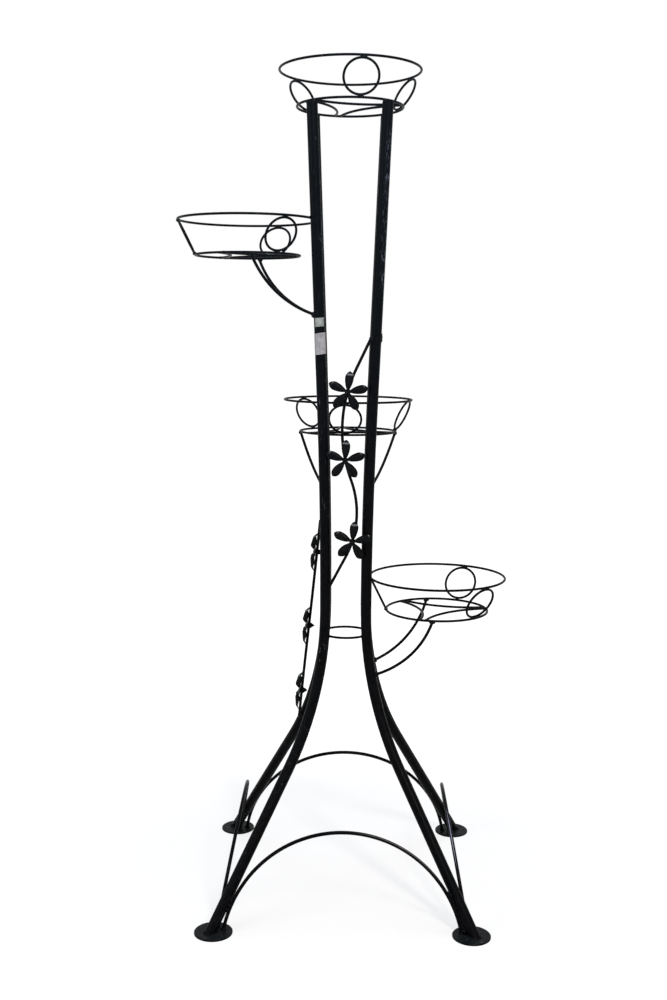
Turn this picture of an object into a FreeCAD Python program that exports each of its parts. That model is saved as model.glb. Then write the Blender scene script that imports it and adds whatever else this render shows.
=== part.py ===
import FreeCAD, Part
import math
import os

from FreeCAD import Placement, Rotation, Vector

# A welded plant stand: four bent tube posts on round foot plates carry four wire baskets at four heights.
# Millimetres, Z up, the front towards -Y. Everything is built about the posts' common axis, with the
# floor at z = 0, and moved at the end so that the middle of the footprint is the origin.

# Height of the whole stand, up to the top of the highest rim
STAND_H = 1381.5

# Gap left at every weld, so that neighbours seat without sharing volume
WELD_GAP = 0.15

# Posts and their foot plates, four of each, on the corners of a square
TUBE_D = 18.0
TUBE_WALL = 1.2
FOOT_SPACING = 423.0
WAIST_SPACING = 69.0
WAIST_Z = 490.0
LEG_BEND = 142.0
SHAFT_BEND = 171.0
POST_TOP_INSET = 1.5
PLATE_D = 62.0
PLATE_T = 3.0
PLATE_EDGE = 0.8
PLATE_INSET = 4.0

# Ring that ties the posts together from inside, just under their narrowest point
WAIST_RING_DROP = 44.0

# Arched rods between neighbouring feet, each bent to its own height
ARCH_D = 6.0
ARCH_TOP_Z = {"rear": 168.0, "left": 161.0, "front": 157.5, "right": 161.0}
ARCH_TOP_INSET = 37.5
ARCH_END_INSET = 8.5

# Baskets: diameters are between wire centres, the depth is from base ring to rim
RING_WIRE = 4.0
CIRCLE_WIRE = 4.0
ARC_WIRE = 4.0
RIM_D = 230.0
BASE_D = 173.0
BASKET_DEPTH = 57.5
BASE_ARCS = 3
ARC_LOW = 28.0
CUSP_GAP = 10.0

# Struts under the three outer baskets
STRUT_D = 5.0
STRUT_BEND = 54.0
STRUT_SEAT = 98.0

# Each basket: the turns of its wall circles and of its first base arc from straight outward. The outer ones
# also: the side they face, from +X towards +Y, the height of their base ring, the drop of their struts and
# the ends of the stand that the struts stand at, clockwise one first
TOP_BASKET = {"circles": (27.0, 143.0, 280.0), "arc": 164.5}
OUTER_BASKETS = {
    "left": {"facing": 180.0, "base_z": 1084.0, "circles": (7.0, 126.5, 247.0), "arc": 125.0,
             "strut_drop": 99.0, "struts": ("rear", "front")},
    "rear": {"facing": 90.0, "base_z": 781.0, "circles": (48.0, 177.5, 280.5), "arc": 189.0,
             "strut_drop": 93.0, "struts": ("right", "left")},
    "right": {"facing": 0.0, "base_z": 488.0, "circles": (61.5, 185.0, 311.0), "arc": 190.5,
              "strut_drop": 106.0, "struts": ("front", "rear")},
}

# Flower branches: a bent stem from one post of a side to the other, with stamped flowers along it
STEM_D = 5.0
FLOWER_R = 34.0
PETALS = 5
PETAL_W = 14.5
PETAL_SHOULDER_R = 23.5
NECK_W = 5.2
NECK_R = 5.0
SHEET_T = 1.5
CREST_Z = 6.2
CREST_FROM_R = 10.0
CREST_TO_R = 27.0
TIP_Z = 0.8

# The two corners that a stem's bends round off: how far down its length, and how far out to the side.
# The bends meet at a share of the way from the upper corner to the lower one
STEM_CORNERS = ((0.337, -0.106), (0.728, 0.099))
STEM_MEETING = 0.58

# Each branch: the side it is on, turned from the front, the heights of its ends, and where each flower
# sits as a share of the stem's length from the top, with the flower's turn
BRANCHES = {
    "front": {"turn": 0.0, "top_z": 949.5, "bottom_z": 537.5,
              "flowers": ((0.219, -7.0), (0.482, -2.5), (0.805, -7.0))},
    "left": {"turn": -90.0, "top_z": 645.0, "bottom_z": 275.0,
             "flowers": ((0.175, -6.0), (0.521, -6.0), (0.829, -6.0))},
}

# Room beyond a shape for a cutting block, and the halvings that find where an arch meets a leg
CUT_ROOM = 1.0
HALVINGS = 40

# Turns about the stand's axis that take the rear right corner, and the rear side, to the others
CORNER_TURNS = {"rear_right": 0, "rear_left": 90, "front_left": 180, "front_right": 270}
SIDE_TURNS = {"rear": 0, "left": 90, "front": 180, "right": 270}

UP = Vector(0, 0, 1)
DIAGONAL = math.sqrt(2)
TUBE_R = TUBE_D / 2
WIRE_R = RING_WIRE / 2
FOOT_REACH = FOOT_SPACING / DIAGONAL
WAIST_REACH = WAIST_SPACING / DIAGONAL
TOP_BASE_Z = STAND_H - WIRE_R - BASKET_DEPTH
TOP_REACH = BASE_D / 2 - POST_TOP_INSET
POST_BOTTOM_Z = PLATE_T + WELD_GAP
POST_TOP_Z = TOP_BASE_Z - WIRE_R - WELD_GAP


def turned(shape, degrees):
    """A copy of a shape, turned about the stand's axis."""
    copy = shape.copy()
    copy.rotate(Vector(), UP, degrees)
    return copy


def polar(radius, degrees, z=0.0):
    angle = math.radians(degrees)
    return Vector(radius * math.cos(angle), radius * math.sin(angle), z)


def ring(radius, wire, z):
    return Part.makeTorus(radius, wire / 2, Vector(0, 0, z), UP)


def rod(path, diameter):
    """A round rod along a wire of lines and tangent arcs."""
    first = path.OrderedEdges[0]
    start = first.valueAt(first.FirstParameter)
    along = first.tangentAt(first.FirstParameter)
    section = Part.Wire(Part.makeCircle(diameter / 2, start, along))
    return path.makePipe(Part.Face(section))


def bowed(start, end, bend, side):
    """An arc from start to end that turns by bend degrees and bulges to the given side of its chord."""
    chord = end - start
    height = chord.Length / 2 * math.tan(math.radians(bend) / 4)
    toward = side - chord * (side.dot(chord) / chord.dot(chord))
    middle = (start + end) / 2 + toward.normalize() * height
    return Part.Arc(start, middle, end).toShape()


def between(shape, low, high):
    """What lies between two heights."""
    box = shape.BoundBox
    slab = Part.makeBox(box.XLength + 2 * CUT_ROOM, box.YLength + 2 * CUT_ROOM, high - low,
                        Vector(box.XMin - CUT_ROOM, box.YMin - CUT_ROOM, low))
    return shape.common(slab).Solids[0]


def post_run(above):
    """The straight run above or below the waist: its end, its lean and the radius of its bend."""
    foot, top = (FOOT_REACH, POST_BOTTOM_Z, LEG_BEND), (TOP_REACH, POST_TOP_Z, SHAFT_BEND)
    reach, z, bend = top if above else foot
    lean = math.atan2(reach - WAIST_REACH, abs(z - WAIST_Z) - bend)
    return reach, z, lean, bend / math.tan(lean / 2)


def post_at(z):
    """A post at a height: half the posts' spacing, so that its axis is at (half, half, z), and its lean."""
    reach, end_z, lean, radius = post_run(z > WAIST_Z)
    drop = abs(z - WAIST_Z)
    if drop < radius * math.sin(lean):
        lean = math.asin(drop / radius)
        at = WAIST_REACH + radius * (1 - math.cos(lean))
    else:
        at = reach - (abs(end_z - WAIST_Z) - drop) * math.tan(lean)
    return at / DIAGONAL, lean


def post_half(z):
    return post_at(z)[0]


def post_path(spare):
    """The rear right post's axis from the plate to the top ring, with spare length at both ends."""
    def at(reach, z):
        return Vector(reach / DIAGONAL, reach / DIAGONAL, z)

    def points(above):
        """The end of a run, the start and the middle of its bend."""
        sign = 1 if above else -1
        reach, z, lean, radius = post_run(above)
        bend = [at(WAIST_REACH + radius * (1 - math.cos(angle)), WAIST_Z + sign * radius * math.sin(angle))
                for angle in (lean, lean / 2)]
        return [at(reach + spare * math.sin(lean), z + sign * spare * math.cos(lean))] + bend
    waist = at(WAIST_REACH, WAIST_Z)
    foot, leg_bend, leg_middle = points(False)
    top, shaft_bend, shaft_middle = points(True)
    runs = [Part.LineSegment(foot, leg_bend), Part.Arc(leg_bend, leg_middle, waist),
            Part.Arc(waist, shaft_middle, shaft_bend), Part.LineSegment(shaft_bend, top)]
    return Part.Wire([run.toShape() for run in runs])


def post_solid(diameter):
    return between(rod(post_path(TUBE_D), diameter), POST_BOTTOM_Z, POST_TOP_Z)


def foot_plate():
    """Round plate with a broken top edge, standing on the floor under the rear right post."""
    profile = Part.makePolygon([
        Vector(0, 0, 0), Vector(PLATE_D / 2, 0, 0), Vector(PLATE_D / 2, 0, PLATE_T - PLATE_EDGE),
        Vector(PLATE_D / 2 - PLATE_EDGE, 0, PLATE_T), Vector(0, 0, PLATE_T), Vector(0, 0, 0)])
    plate = Part.Face(profile).revolve(Vector(), UP, 360)
    centre = FOOT_SPACING / 2 - PLATE_INSET
    plate.translate(Vector(centre, centre, 0))
    return plate


def waist_ring():
    z = WAIST_Z - WAIST_RING_DROP
    half, lean = post_at(z)
    return ring(half * DIAGONAL - (TUBE_R + WIRE_R + WELD_GAP) / math.cos(lean), RING_WIRE, z)


def arch_path(top_z, half_span, spare):
    """The rear arch's axis: one arc over the gap between two feet, leaning in towards its top."""
    foot_y = FOOT_SPACING / 2 - ARCH_END_INSET
    top = Vector(0, FOOT_SPACING / 2 - ARCH_TOP_INSET, top_z)
    feet = [Vector(side * half_span, foot_y, POST_BOTTOM_Z) for side in (1, -1)]
    arc = Part.Arc(feet[0], top, feet[1]).toShape()
    extra = spare / arc.Curve.Radius
    longer = Part.ArcOfCircle(arc.Curve, arc.FirstParameter - extra, arc.LastParameter + extra)
    return Part.Wire(longer.toShape())


def arch(top_z):
    """The arched rod whose two ends stand on the plates and lean against the legs."""
    leg = post_path(TUBE_D)
    seat = TUBE_R + ARCH_D / 2 + WELD_GAP
    near, far = FOOT_SPACING / 2, FOOT_SPACING / 4
    for _ in range(HALVINGS):
        middle = (near + far) / 2
        if arch_path(top_z, middle, 0).distToShape(leg)[0] < seat:
            near = middle
        else:
            far = middle
    return between(rod(arch_path(top_z, far, ARCH_D), ARCH_D), POST_BOTTOM_Z, top_z + ARCH_D)


def basket(spec):
    """A basket about its own axis, base ring at z = 0: two rings, circles in the wall, arcs in the floor."""
    base_r, rim_r = BASE_D / 2, RIM_D / 2
    pieces = {"rim": ring(rim_r, RING_WIRE, BASKET_DEPTH), "base_ring": ring(base_r, RING_WIRE, 0)}
    slant = Vector(rim_r - base_r, 0, BASKET_DEPTH)
    circle_r = slant.Length / 2 - WIRE_R - CIRCLE_WIRE / 2 - WELD_GAP
    facing = slant.cross(Vector(0, 1, 0))
    circle = Part.makeTorus(circle_r, CIRCLE_WIRE / 2, Vector(base_r, 0, 0) + slant / 2, facing)
    for number, turn in enumerate(spec["circles"], 1):
        pieces[f"circle_{number}"] = turned(circle, turn)

    share = 360 / BASE_ARCS
    end = share / 2 - math.degrees(CUSP_GAP / 2 / base_r)
    arc = Part.Arc(polar(base_r, -end), Vector(ARC_LOW, 0, 0), polar(base_r, end)).toShape()
    seat = ring(base_r, RING_WIRE + 2 * WELD_GAP, 0)
    base_arc = rod(Part.Wire(arc), ARC_WIRE).cut(seat).Solids[0]
    for number in range(BASE_ARCS):
        pieces[f"base_arc_{number + 1}"] = turned(base_arc, spec["arc"] + share * number)
    return pieces


def basket_reach(base_z):
    """How far out an outer basket's axis stands, with its rim against two posts."""
    half = post_half(base_z + BASKET_DEPTH)
    touch = RIM_D / 2 + WIRE_R + TUBE_R + WELD_GAP
    return half + math.sqrt(touch ** 2 - half ** 2)


def strut(base_z, drop, side):
    """A bent rod from a post up to the underside of a base ring, for a basket that faces +X."""
    foot_z = base_z - drop
    half = post_half(foot_z)
    foot = Vector(half, side * half, foot_z)
    head = polar(BASE_D / 2, side * STRUT_SEAT, base_z) + Vector(basket_reach(base_z), 0, 0)
    path = bowed(foot, head, STRUT_BEND, Vector(1, 0, -1))
    whole = rod(Part.Wire(path), STRUT_D)
    post = turned(post_solid(TUBE_D + 2 * WELD_GAP), 0 if side > 0 else -90)
    return between(whole.cut(post), foot_z - STRUT_D, base_z - WIRE_R - WELD_GAP)


def petal_outline():
    """The edges of a petal along +Y, from its right neck over the tip to the next petal's neck."""
    half, neck = PETAL_W / 2, NECK_W / 2

    def flank(side, width, reach):
        """Arc that leaves the shoulder along the petal and ends at a half width and a reach."""
        rise, inward = reach - PETAL_SHOULDER_R, half - width
        radius = (rise ** 2 + inward ** 2) / (2 * inward)
        angle = math.asin(rise / radius) / 2
        middle = (half - radius * (1 - math.cos(angle)), PETAL_SHOULDER_R + radius * math.sin(angle))
        return Part.Arc(Vector(side * half, PETAL_SHOULDER_R), Vector(side * middle[0], middle[1]),
                        Vector(side * width, reach)).toShape()
    next_neck = Rotation(UP, 360 / PETALS).multVec(Vector(neck, NECK_R, 0))
    gap = Part.LineSegment(Vector(-neck, NECK_R, 0), next_neck).toShape()
    right, left = ([flank(side, neck, NECK_R), flank(side, 0, FLOWER_R)] for side in (1, -1))
    return right + left[::-1] + [gap]


def flower():
    """A stamped flower, facing +Z, lowest at its middle: the petals rise to a crest and dip at their tips."""
    outline = [turned(edge, number * 360 / PETALS) for number in range(PETALS) for edge in petal_outline()]
    blank = Part.Face(Part.Wire(outline))
    below = [Vector(0, 0, 0), Vector(CREST_FROM_R, 0, CREST_Z), Vector(CREST_TO_R, 0, CREST_Z),
             Vector(FLOWER_R + SHEET_T, 0, TIP_Z)]
    above = [point + Vector(0, 0, SHEET_T) for point in reversed(below)]
    dish = Part.Face(Part.makePolygon(below + above + below[:1])).revolve(Vector(), UP, 360)
    return dish.common(blank.extrude(Vector(0, 0, CREST_Z + SHEET_T))).Solids[0]


def stem_runs(top, bottom, across):
    """The edges of a stem's axis: straight ends, and two bends that meet between them."""
    drop = bottom - top
    high, low = (top + drop * share + across * (drop.Length * swing) for share, swing in STEM_CORNERS)
    middle = low - high
    meeting = high + middle * STEM_MEETING

    def bend_end(corner, end):
        return corner + (end - corner).normalize() * (meeting - corner).Length
    first, last = bend_end(high, top), bend_end(low, bottom)
    high_bend, low_bend = (high - top).getAngle(middle), middle.getAngle(bottom - low)
    return [Part.LineSegment(top, first).toShape(), bowed(first, meeting, math.degrees(high_bend), -across),
            bowed(meeting, last, math.degrees(low_bend), across), Part.LineSegment(last, bottom).toShape()]


def point_along(runs, share):
    """The point at a share of the length of joined edges."""
    ahead = share * sum(run.Length for run in runs)
    for run in runs:
        if ahead <= run.Length:
            return run.valueAt(run.getParameterByLength(ahead))
        ahead -= run.Length


def branch(top_z, bottom_z, flowers):
    """A stem across the front side, from the right post down to the left one, and its flowers, top first."""
    def end(side, z):
        half = post_half(z)
        touch = (TUBE_R + STEM_D / 2 + WELD_GAP) / DIAGONAL
        return Vector(side * (half - touch), -half - touch, z)
    top, bottom = end(1, top_z), end(-1, bottom_z)
    across = Vector(1, 0, 0)
    rise = (top - bottom) - across * (top - bottom).dot(across)
    upward = rise.normalize()
    outward = across.cross(upward)
    runs = stem_runs(top, bottom, across)
    stem = rod(Part.Wire(runs), STEM_D)
    heads = []
    facing = Rotation(across, upward, outward, "ZXY")
    for share, turn in flowers:
        seat = point_along(runs, share) + outward * (STEM_D / 2 + WELD_GAP)
        head = flower()
        head.Placement = Placement(seat, facing * Rotation(UP, turn))
        heads.append(head)
    return stem, heads


def build():
    """Every piece of the stand by its name, about the posts' axis."""
    parts = {"waist_ring": waist_ring()}
    bore = rod(post_path(2 * TUBE_D), TUBE_D - 2 * TUBE_WALL)
    tube = post_solid(TUBE_D).cut(bore).Solids[0]
    for corner, angle in CORNER_TURNS.items():
        parts[f"post_{corner}"] = turned(tube, angle)
        parts[f"foot_plate_{corner}"] = turned(foot_plate(), angle)
    for side, angle in SIDE_TURNS.items():
        parts[f"arch_{side}"] = turned(arch(ARCH_TOP_Z[side]), angle)

    for name, piece in basket(TOP_BASKET).items():
        piece.translate(Vector(0, 0, TOP_BASE_Z))
        parts[f"top_{name}"] = piece
    for side, spec in OUTER_BASKETS.items():
        seat = Vector(basket_reach(spec["base_z"]), 0, spec["base_z"])
        for name, piece in basket(spec).items():
            piece.translate(seat)
            parts[f"{side}_{name}"] = turned(piece, spec["facing"])
        for end, sign in zip(spec["struts"], (-1, 1)):
            piece = strut(spec["base_z"], spec["strut_drop"], sign)
            parts[f"{side}_strut_{end}"] = turned(piece, spec["facing"])

    for side, spec in BRANCHES.items():
        stem, heads = branch(spec["top_z"], spec["bottom_z"], spec["flowers"])
        parts[f"{side}_stem"] = turned(stem, spec["turn"])
        for number, head in enumerate(heads, 1):
            parts[f"{side}_flower_{number}"] = turned(head, spec["turn"])
    return parts


def main():
    os.makedirs("parts", exist_ok=True)
    parts = build()
    box = Part.makeCompound(list(parts.values())).optimalBoundingBox(False)
    to_origin = Vector(-box.Center.x, -box.Center.y, 0)
    for name, shape in parts.items():
        shape.translate(to_origin)
        shape.exportStep(f"parts/{name}.step")
        print(f"{name}: {shape.ShapeType}, valid {shape.isValid()}, {shape.Volume:.0f} mm3")


main()
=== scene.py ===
"""Looks of the welded plant stand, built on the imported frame.

The CAD nodes keep their shapes and take the paint. Added to them is what the welder and the shop left:
beads at every contact, seams round the feet, spikes behind the flowers and two blank stickers.
The scene is in metres. Fields that end in _mm are in millimetres.
"""

import logging
import math
from dataclasses import dataclass, field
from enum import Enum
from itertools import combinations, product

import bpy
import numpy as np
from mathutils import Matrix, Vector
from mathutils.bvhtree import BVHTree


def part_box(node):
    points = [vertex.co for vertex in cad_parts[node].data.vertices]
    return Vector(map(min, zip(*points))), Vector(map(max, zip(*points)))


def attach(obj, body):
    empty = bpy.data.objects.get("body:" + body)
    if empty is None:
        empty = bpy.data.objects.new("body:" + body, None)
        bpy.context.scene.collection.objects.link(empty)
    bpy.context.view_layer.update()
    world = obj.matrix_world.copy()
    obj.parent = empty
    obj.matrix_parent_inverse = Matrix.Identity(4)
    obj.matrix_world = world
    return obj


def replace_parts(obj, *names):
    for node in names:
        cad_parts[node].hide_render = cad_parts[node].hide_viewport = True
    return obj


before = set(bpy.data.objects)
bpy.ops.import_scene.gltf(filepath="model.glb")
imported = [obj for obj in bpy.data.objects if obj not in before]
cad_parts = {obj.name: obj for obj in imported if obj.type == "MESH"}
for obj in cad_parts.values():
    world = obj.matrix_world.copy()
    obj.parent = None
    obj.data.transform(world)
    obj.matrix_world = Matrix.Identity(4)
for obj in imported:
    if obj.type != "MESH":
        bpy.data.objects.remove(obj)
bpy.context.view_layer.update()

LOG = logging.getLogger("plant_stand")
MM = 0.001
BODY = "root"
FOLD = "fold"
FILM_BAND = (0.35, 0.65)
PATCH_BAND = (0.4, 0.6)
CLOSE_MM = 60.0
CORNERS = ("front_left", "front_right", "rear_left", "rear_right")
SIDES = ("front", "right", "rear", "left")


def srgb(code: str) -> tuple[float, float, float, float]:
    """Turns an sRGB hex code into a linear colour.

    Args:
        code: Colour such as "#101214".

    Returns:
        Linear red, green, blue and a full alpha.
    """
    parts = [int(code[i:i + 2], 16) / 255 for i in (1, 3, 5)]
    red, green, blue = [p / 12.92 if p <= 0.04045 else ((p + 0.055) / 1.055) ** 2.4 for p in parts]
    return red, green, blue, 1.0


def per_metre(size_mm: float) -> float:
    """Pattern scale whose features are about size_mm wide."""
    return 1.0 / (size_mm * MM)


def add(tree: bpy.types.NodeTree, kind: str, inputs: dict | None = None, **settings) -> bpy.types.Node:
    """Adds a node, sets it up and links it.

    Args:
        tree: Node tree that gets the node.
        kind: Node type.
        inputs: Socket name or number, with a value or with the output that feeds it.
        settings: Properties of the node itself.

    Returns:
        The new node.
    """
    node = tree.nodes.new(kind)
    for name, value in settings.items():
        setattr(node, name, value)
    for key, value in (inputs or {}).items():
        if isinstance(value, bpy.types.NodeSocket):
            tree.links.new(value, node.inputs[key])
        else:
            node.inputs[key].default_value = value
    return node


def slab(name: str, lower: list[Vector], upper: list[Vector], wide: int) -> bpy.types.Mesh:
    """Closes a thin sheet between two grids of points.

    Args:
        name: Name of the mesh.
        lower: Points of the back, row by row.
        upper: Points of the face, in the same order.
        wide: Points in a row.

    Returns:
        The closed sheet, with its face where the rows run from left to right and from bottom to top.
    """
    each, rows = len(lower), len(lower) // wide
    faces = []
    for row, column in product(range(rows - 1), range(wide - 1)):
        a = row * wide + column
        quad = (a, a + 1, a + wide + 1, a + wide)
        faces += [quad[::-1], tuple(i + each for i in quad)]
    last = (rows - 1) * wide
    rim = [*range(wide), *(r * wide + wide - 1 for r in range(1, rows)),
           *range(last + wide - 2, last - 1, -1), *(r * wide for r in range(rows - 2, 0, -1))]
    faces += [(a, b, b + each, a + each) for a, b in zip(rim, rim[1:] + rim[:1])]
    mesh = bpy.data.meshes.new(name)
    mesh.from_pydata(lower + upper, [], faces)
    return mesh


def run_tree(carrier: bpy.types.Object, tree: bpy.types.NodeTree, values: dict) -> bpy.types.Mesh:
    """Runs a Geometry Nodes tree on an object once and keeps only the mesh that comes out.

    Args:
        carrier: Object the tree starts from. It is removed.
        tree: Geometry Nodes tree.
        values: Values of the tree's inputs by their names.

    Returns:
        The finished mesh.
    """
    bpy.context.scene.collection.objects.link(carrier)
    modifier = carrier.modifiers.new(tree.name, "NODES")
    modifier.node_group = tree
    for socket in tree.interface.items_tree:
        if socket.in_out == "INPUT" and socket.name in values:
            modifier[socket.identifier] = values[socket.name]
    mesh = bpy.data.meshes.new_from_object(carrier.evaluated_get(bpy.context.evaluated_depsgraph_get()))
    bpy.data.objects.remove(carrier)
    return mesh


def start_tree(name: str, inputs: dict[str, str]) -> tuple[bpy.types.NodeTree, bpy.types.NodeOutputs]:
    """Starts a Geometry Nodes tree that takes a mesh, some values and a material, and gives a mesh.

    Args:
        name: Name of the tree.
        inputs: Socket kind of each value by its name.

    Returns:
        The tree and the sockets that hand out its inputs.
    """
    tree = bpy.data.node_groups.new(name, "GeometryNodeTree")
    for socket, kind in {"Geometry": "Geometry", **inputs, "Material": "Material"}.items():
        tree.interface.new_socket(socket, in_out="INPUT", socket_type="NodeSocket" + kind)
    tree.interface.new_socket("Geometry", in_out="OUTPUT", socket_type="NodeSocketGeometry")
    return tree, add(tree, "NodeGroupInput").outputs


def end_tree(tree: bpy.types.NodeTree, shape: bpy.types.NodeSocket, paint: bpy.types.NodeSocket) -> None:
    """Ends a Geometry Nodes tree with smooth faces and one material.

    Args:
        tree: Geometry Nodes tree.
        shape: Geometry that the tree has made.
        paint: Material of all of it.
    """
    smooth = add(tree, "GeometryNodeSetShadeSmooth", {0: shape})
    painted = add(tree, "GeometryNodeSetMaterial", {"Geometry": smooth.outputs[0], "Material": paint})
    add(tree, "NodeGroupOutput", {"Geometry": painted.outputs[0]})


def blank_material(name: str) -> bpy.types.Material:
    """Makes a material with an empty node tree."""
    made = bpy.data.materials.new(name)
    made.use_nodes = True
    made.node_tree.nodes.clear()
    return made


def cut_level(node: str, height: float, near: Vector | None = None) -> tuple[Vector, float]:
    """Cuts a CAD node level at a height.

    Args:
        node: CAD node of a tube or a rod.
        height: Height above the floor.
        near: Place that the cut is close to, for a node that is cut twice.

    Returns:
        Middle of the cut and half its width from left to right.
    """
    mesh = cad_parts[node].data
    cut = []
    for edge in mesh.edges:
        a, b = (mesh.vertices[i].co for i in edge.vertices)
        if (a.z - height) * (b.z - height) < 0:
            cut.append(a.lerp(b, (height - a.z) / (b.z - a.z)))
    if near is not None:
        cut = [point for point in cut if (point - near).length < CLOSE_MM * MM]
    low = Vector(map(min, zip(*cut)))
    high = Vector(map(max, zip(*cut)))
    return (low + high) / 2, (high.x - low.x) / 2


def show(name: str, mesh: bpy.types.Mesh) -> bpy.types.Object:
    """Puts a finished mesh on the stand as a piece of its own.

    Args:
        name: Name of the piece.
        mesh: Its mesh, in the stand's frame.

    Returns:
        The piece.
    """
    mesh.name = name
    piece = bpy.data.objects.new(name, mesh)
    bpy.context.scene.collection.objects.link(piece)
    LOG.info("%s: %d faces", name, len(mesh.polygons))
    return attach(piece, BODY)


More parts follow.
